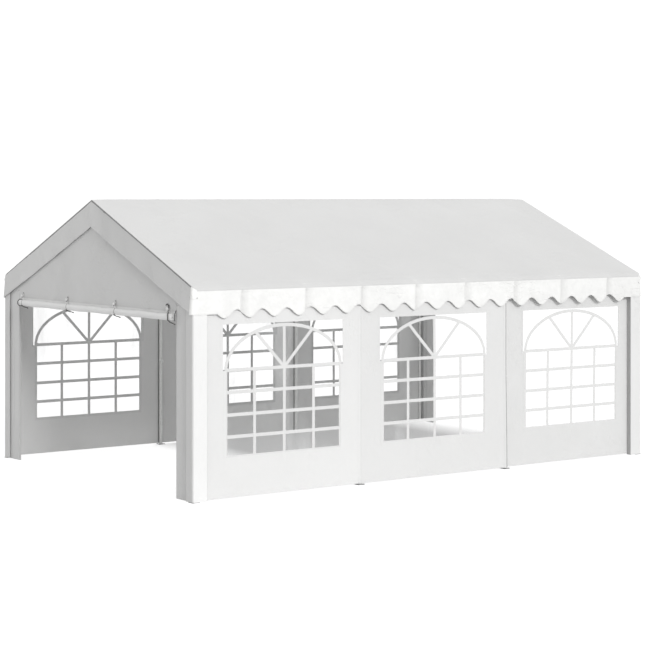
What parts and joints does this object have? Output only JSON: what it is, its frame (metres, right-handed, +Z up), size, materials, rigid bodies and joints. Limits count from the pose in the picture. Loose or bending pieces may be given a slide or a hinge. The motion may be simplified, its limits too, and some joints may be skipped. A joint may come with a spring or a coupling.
{
  "type": "marquee tent",
  "caption": "Rectangular white marquee tent with a ridged roof on a tube frame, scalloped valances, side walls with arched window films and rolled-up doors at both ends.",
  "frame": {"origin": "on the ground in the middle of the plan, at the underside of the foot plates", "axes": "+Z up, +Y along the ridge towards the back end, +X across towards the right side"},
  "size_m": [4.094, 6.2392, 2.955],
  "materials": {
    "steel_white": "white powder coat, satin",
    "cover_white": "coated woven sheet, satin",
    "wall_white": "coated woven sheet, satin",
    "film_clear": "clear flexible film"
  },
  "bodies": {
    "root": {"post_front_left": "steel_white", "post_mid_front_left": "steel_white", "post_mid_back_left": "steel_white", "post_back_left": "steel_white", "post_front_right": "steel_white", "post_mid_front_right": "steel_white", "post_mid_back_right": "steel_white", "post_back_right": "steel_white", "rafter_front_left": "steel_white", "rafter_mid_front_left": "steel_white", "rafter_mid_back_left": "steel_white", "rafter_back_left": "steel_white", "rafter_front_right": "steel_white", "rafter_mid_front_right": "steel_white", "rafter_mid_back_right": "steel_white", "rafter_back_right": "steel_white", "eave_tube_front_left": "steel_white", "eave_tube_middle_left": "steel_white", "eave_tube_back_left": "steel_white", "eave_tube_front_right": "steel_white", "eave_tube_middle_right": "steel_white", "eave_tube_back_right": "steel_white", "ridge_tube_front": "steel_white", "ridge_tube_middle": "steel_white", "ridge_tube_back": "steel_white", "roof_slope_left": "cover_white", "valance_left": "cover_white", "roof_slope_right": "cover_white", "valance_right": "cover_white", "rake_flap_front": "cover_white", "rake_flap_back": "cover_white", "side_wall_front_left": "wall_white", "window_film_front_left": "film_clear", "side_wall_middle_left": "wall_white", "window_film_middle_left": "film_clear", "side_wall_back_left": "wall_white", "window_film_back_left": "film_clear", "side_wall_front_right": "wall_white", "window_film_front_right": "film_clear", "side_wall_middle_right": "wall_white", "window_film_middle_right": "film_clear", "side_wall_back_right": "wall_white", "window_film_back_right": "film_clear", "gable_panel_front": "wall_white", "end_strip_front_left": "wall_white", "end_strip_front_right": "wall_white", "door_roll_front": "wall_white", "gable_panel_back": "wall_white", "end_strip_back_left": "wall_white", "end_strip_back_right": "wall_white", "door_roll_back": "wall_white"}
  },
  "joints": []
}
